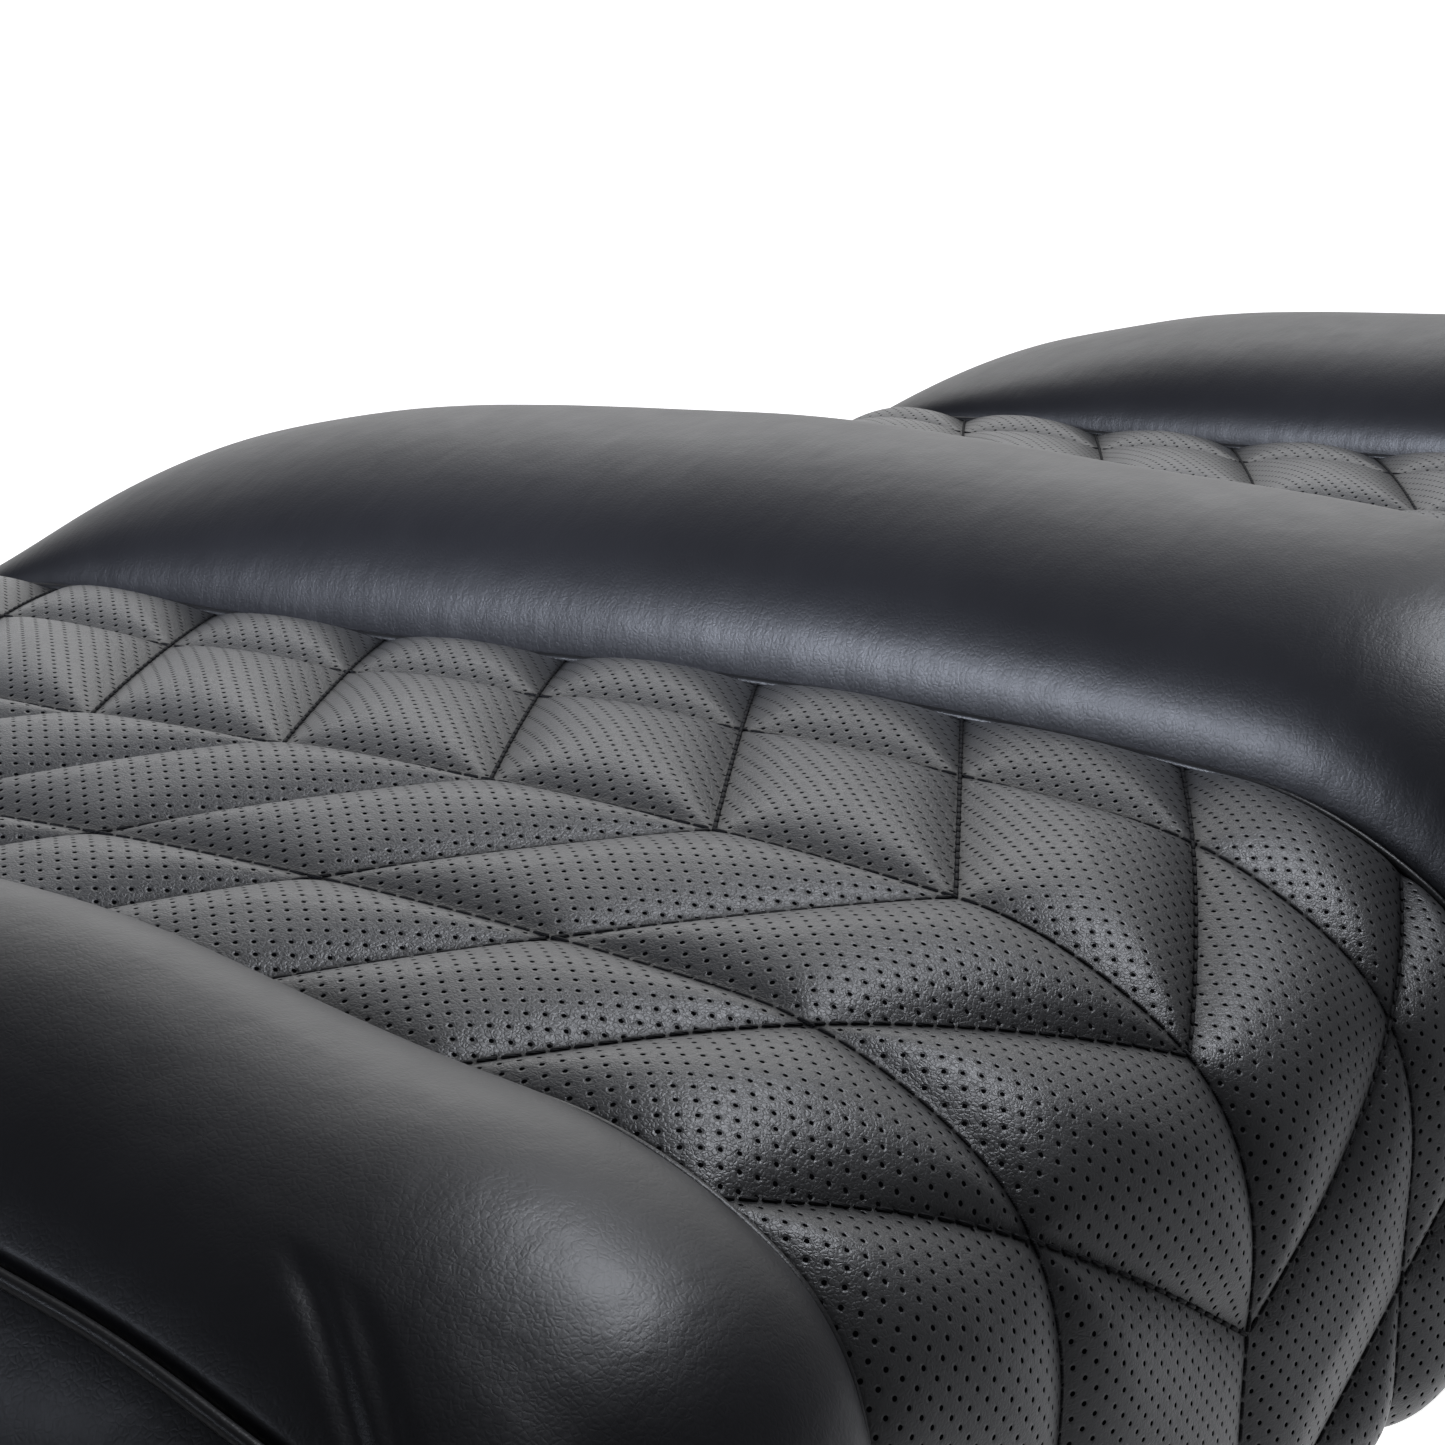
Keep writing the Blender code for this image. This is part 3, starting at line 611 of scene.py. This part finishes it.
def build_bolster(tag, side):
    nm = {-1: "left", 1: "right"}[side]
    s = np.concatenate([np.linspace(S0, -2, 120), np.linspace(-2, 12, 66)[1:], np.linspace(12, S1, 44)[1:]])
    a = np.concatenate([np.linspace(0, 0.25, 9)[:-1], np.linspace(0.25, 1.28, 27)[:-1], np.linspace(1.28, 1.44, 15)[:-1], np.linspace(1.44, 1.57, 24)[:-1],
                        np.linspace(1.57, 1.75, 7)[:-1], np.linspace(1.75, 2.0, 9)])
    S, A = np.meshgrid(s, a, indexing="ij")
    A = A + (smooth_tab(SHOULDER, S) - 1.505) * np.clip(np.minimum((A - 1.0) / 0.4, (1.95 - A) / 0.35), 0, 1)
    P = shoulder_seam(bolster_skin(S, side, A), S, side, A)
    n, m = S.shape
    # inner flank goes down under the insert, outer flank ends in the boxing seam
    y, z, ny, nz = base(s)
    k = -0.010
    inn = np.stack([side * (seam(s, side) + 0.0003), y + ny * k, z + nz * k], -1)
    bot_y = np.linspace(P[0, 0, 1], P[-1, 0, 1], n)
    zb = -CUSHION_H + 0.0006
    bi = np.stack([np.full(n, side * (INSERT_HALF + FLARE + 0.004)), bot_y, np.full(n, zb)], -1)
    bo = np.stack([np.full(n, side * (HALF - 0.0042)), bot_y, np.full(n, zb)], -1)
    tuck = P[:, -1].copy()
    tuck[:, 0] = side * (HALF - 0.0040)
    tuck[:, 2] = np.maximum(tuck[:, 2] - 0.0018, zb)
    ring = np.concatenate([bi[:, None], inn[:, None], P, tuck[:, None], bo[:, None]], 1)
    ring[..., 2] = np.maximum(ring[..., 2], -CUSHION_H - PAN_T - 0.002)
    n, m = ring.shape[:2]
    faces = grid_faces(n, m).tolist()
    for i in range(n - 1):
        faces.append((i * m, (i + 1) * m, (i + 1) * m + m - 1, i * m + m - 1))
    faces.append(tuple(range(m)))
    faces.append(tuple(range((n - 1) * m, n * m))[::-1])
    o = make("%s_bolster_%s_cover" % (tag, nm), ring.reshape(-1, 3), faces, LEATHER, tag + "_cushion", ORIGIN[tag])
    fix_normals(o)
    sub = o.modifiers.new("fine", "SUBSURF")
    sub.levels = sub.render_levels = 1
    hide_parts("%s_bolster_%s" % (tag, nm))
    return o


# ------------------------------------------------------------------ boxing
def panel(name, outer, normal, thick, tag, replaced):
    """closed panel: outer is a grid (rows along the panel, columns bottom to top), rounded at its long edges"""
    n, m = outer.shape[:2]
    inner = outer - normal * thick
    V = np.concatenate([outer.reshape(-1, 3), inner.reshape(-1, 3)])
    off = n * m
    F = grid_faces(n, m).tolist() + [tuple(f[::-1]) for f in grid_faces(n, m, off).tolist()]
    for i in range(n - 1):
        F.append((i * m, (i + 1) * m, off + (i + 1) * m, off + i * m))
        F.append((i * m + m - 1, off + i * m + m - 1, off + (i + 1) * m + m - 1, (i + 1) * m + m - 1))
    for j in range(m - 1):
        F.append((j, off + j, off + j + 1, j + 1))
        F.append(((n - 1) * m + j, (n - 1) * m + j + 1, off + (n - 1) * m + j + 1, off + (n - 1) * m + j))
    o = make(name, V, F, BOXING, tag + "_cushion", ORIGIN[tag])
    fix_normals(o)
    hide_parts(*replaced)
    return o


def build_boxing(tag):
    for side in (-1, 1):
        nm = {-1: "left", 1: "right"}[side]
        s = np.concatenate([np.linspace(S0, 0, 90), np.linspace(0, S1, 50)[1:]])
        top = bolster_skin(s, side, np.full(len(s), 2.0))
        keep = np.concatenate([[True], np.diff(top[:, 1]) < -0.0004])
        top = top[keep]
        zt = np.maximum(top[:, 2] - 0.0012, -CUSHION_H + 0.001)
        zb = -CUSHION_H - PAN_T
        k = np.concatenate([[0, 0.02, 0.06], np.linspace(0.12, 0.88, 9), [0.94, 0.98, 1.0]])
        bulge = (1 - abs(2 * k - 1) ** 5) * 0.0016 - 0.0012
        z = zb + (zt - zb)[:, None] * k
        wave = 0.0005 * np.sin(np.arange(len(top)) * 0.9)[:, None] * np.sin(math.pi * k)
        x = side * (HALF + bulge[None] + wave)
        y = top[:, 1][:, None] + 0 * z
        outer = np.stack([x, y, z], -1)
        panel("%s_boxing_%s_cover" % (tag, nm), outer, np.array([side * 1.0, 0, 0]), 0.0024, tag, ["%s_boxing_%s" % (tag, nm)])
    # rear panel: its top edge follows the bolsters' and the insert's rear ends
    a = np.linspace(2, 0, 40)
    L = bolster_skin(np.full(40, S0), -1, a)
    R = bolster_skin(np.full(40, S0), 1, a[::-1])
    t = np.linspace(-24, 24, 60)[1:-1]
    h, _ = puff(np.full(58, S0), t)
    M = insert_pt(np.full(58, S0), t, h)
    line = np.concatenate([L, M, R])
    order = np.argsort(line[:, 0])
    x = np.linspace(-HALF + 0.0005, HALF - 0.0005, 150)
    zt = np.interp(x, line[order, 0], line[order, 2]) - 0.0016
    for _ in range(3):
        zt[1:-1] = (zt[:-2] + 2 * zt[1:-1] + zt[2:]) / 4
    yr = line[:, 1].max() + 0.0006
    k = np.concatenate([[0, 0.015, 0.05], np.linspace(0.1, 0.9, 14), [0.95, 0.985, 1.0]])
    zb = -CUSHION_H - PAN_T
    z = zb + (zt - zb)[:, None] * k
    edge = np.minimum(1, (HALF - abs(x)) / 0.012)
    bulge = 0.0030 + 0.0030 * (1 - abs(2 * k - 1) ** 4)[None] * (0.25 + 0.75 * edge ** 0.5)[:, None] - 0.0012 * ((k < 0.01) | (k > 0.99))[None]
    outer = np.stack([x[:, None] + 0 * z, yr + bulge, z], -1)
    panel(tag + "_boxing_rear_cover", outer, np.array([0, 1.0, 0]), 0.0026, tag, [tag + "_boxing_rear"])
    cord(tag + "_rear_piping", np.stack([x[2:-2], np.full(len(x) - 4, yr + 0.0016), zt[2:-2] + 0.0008], -1), 0.0014, WELT, tag + "_cushion", ORIGIN[tag])


def cord(name, pts, r, mat, body, off, res=3):
    cu = bpy.data.curves.new(name, "CURVE")
    cu.dimensions = "3D"
    cu.bevel_depth = r
    cu.bevel_resolution = res
    cu.use_fill_caps = True
    sp = cu.splines.new("POLY")
    sp.points.add(len(pts) - 1)
    sp.points.foreach_set("co", np.concatenate([pts, np.ones((len(pts), 1))], 1).reshape(-1).astype(np.float32))
    cu.materials.append(mat)
    o = bpy.data.objects.new(name, cu)
    bpy.context.scene.collection.objects.link(o)
    o.location = off
    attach(o, body)
    return o


def build_welt(tag, side):
    nm = {-1: "left", 1: "right"}[side]
    s = np.linspace(S0 + 0.5, 31, 220)
    b = seam(s, side)
    y, z, ny, nz = base(s)
    o = crown(s, b / Q) + 0.0006
    pts = np.stack([side * (b - 0.0009), y + ny * o, z + nz * o], -1)
    c = cord("%s_welt_%s_cord" % (tag, nm), pts, 0.0013, WELT, tag + "_cushion", ORIGIN[tag])
    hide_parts("%s_welt_%s" % (tag, nm))


for tag in ("driver", "passenger"):
    RISE[1] = RIGHT[tag]
    build_insert(tag)
    build_stitches(tag)
    for side in (-1, 1):
        build_bolster(tag, side)
        build_welt(tag, side)
        build_shoulder_piping(tag, side)
    build_boxing(tag)

# ------------------------------------------------------------------ stage, light, camera
bpy.ops.mesh.primitive_plane_add(size=30, location=(0, 0, 0))
floor = bpy.context.object
floor.name = "studio_floor"
fm, fnt, fb = nodes_of("studio_white")
fb.inputs["Base Color"].default_value = (0.75, 0.75, 0.75, 1)
fb.inputs["Roughness"].default_value = 0.9
fb.inputs["Emission Color"].default_value = (1, 1, 1, 1)
# painted light: the sweep glows by emission, not by a lamp, bright past the seats and falling off towards the front
# left; the glow also lights the seats
fpos = nd(fnt, "ShaderNodeNewGeometry").outputs["Position"]
fxyz = nd(fnt, "ShaderNodeSeparateXYZ")
fnt.links.new(fpos, fxyz.inputs[0])


def ease(sock, lo, hi):
    r = nd(fnt, "ShaderNodeMapRange", interpolation_type="SMOOTHSTEP")
    r.inputs[1].default_value, r.inputs[2].default_value = lo, hi
    fnt.links.new(sock, r.inputs[0])
    return r.outputs[0]


glow = mathn(fnt, "MULTIPLY", ease(fxyz.outputs["X"], -0.60, -0.10), ease(fxyz.outputs["Y"], -0.42, -0.20))
fnt.links.new(glow, fb.inputs["Emission Strength"])
floor.data.materials.append(fm)

world = bpy.data.worlds.new("studio")
bpy.context.scene.world = world
world.use_nodes = True
wn = world.node_tree
bg = wn.nodes["Background"]
tc = nd(wn, "ShaderNodeTexCoord")
dot = nd(wn, "ShaderNodeVectorMath", operation="DOT_PRODUCT")
wn.links.new(tc.outputs["Generated"], dot.inputs[0])
dot.inputs[1].default_value = (0.80, 0.54, 0.22)
mr = nd(wn, "ShaderNodeMapRange", interpolation_type="SMOOTHSTEP")
mr.inputs[1].default_value, mr.inputs[2].default_value = 0.55, 0.98
mr.inputs[3].default_value, mr.inputs[4].default_value = 0.035, 1.02
wn.links.new(dot.outputs["Value"], mr.inputs[0])
wn.links.new(mr.outputs[0], bg.inputs["Strength"])
bg.inputs["Color"].default_value = (1, 1, 1, 1)


def area(name, loc, target, size, power, color=(1, 1, 1), spread=180):
    li = bpy.data.lights.new(name, "AREA")
    li.shape = "RECTANGLE"
    li.size, li.size_y = size
    li.energy = power
    li.color = color
    li.spread = math.radians(spread)
    o = bpy.data.objects.new(name, li)
    o.location = loc
    o.rotation_mode = "QUATERNION"
    o.rotation_quaternion = (Vector(target) - Vector(loc)).to_track_quat("-Z", "Y")
    bpy.context.scene.collection.objects.link(o)
    return o


area("overhead_softbox", (0.50, -0.50, 1.90), (-0.1, 0.0, 0.2), (0.55, 0.6), 22, (0.90, 0.93, 1.0))
area("back_softbox", (1.9, 1.2, 1.55), (-0.1, 0.0, 0.2), (1.6, 0.8), 6)
area("blue_strip", (-1.05, 0.34, 0.64), (0.15, -0.02, 0.30), (0.4, 0.3), 1.5, (0.80, 0.86, 1.0), 40)

FOCAL = 3798.0 / 1445 * 36
AZ, EL, ROLL = math.radians(-56.377), math.radians(14.208), math.radians(1.353)
CAM = ORIGIN["driver"] + Vector((-0.59886, -0.34430, 0.20771))
bk = Vector((math.sin(AZ) * math.cos(EL), -math.cos(AZ) * math.cos(EL), math.sin(EL)))
rt = Vector((0, 0, 1)).cross(bk).normalized()
up = bk.cross(rt)
rt2, up2 = math.cos(ROLL) * rt + math.sin(ROLL) * up, -math.sin(ROLL) * rt + math.cos(ROLL) * up
cam = bpy.data.cameras.new("camera")
cam.sensor_width = 36
cam.lens = FOCAL
cam.clip_start, cam.clip_end = 0.02, 100
co = bpy.data.objects.new("camera", cam)
co.matrix_world = Matrix(((rt2.x, up2.x, bk.x, CAM.x), (rt2.y, up2.y, bk.y, CAM.y), (rt2.z, up2.z, bk.z, CAM.z), (0, 0, 0, 1)))
bpy.context.scene.collection.objects.link(co)
bpy.context.scene.camera = co
bpy.context.scene.view_settings.view_transform = "Standard"

bpy.context.view_layer.update()
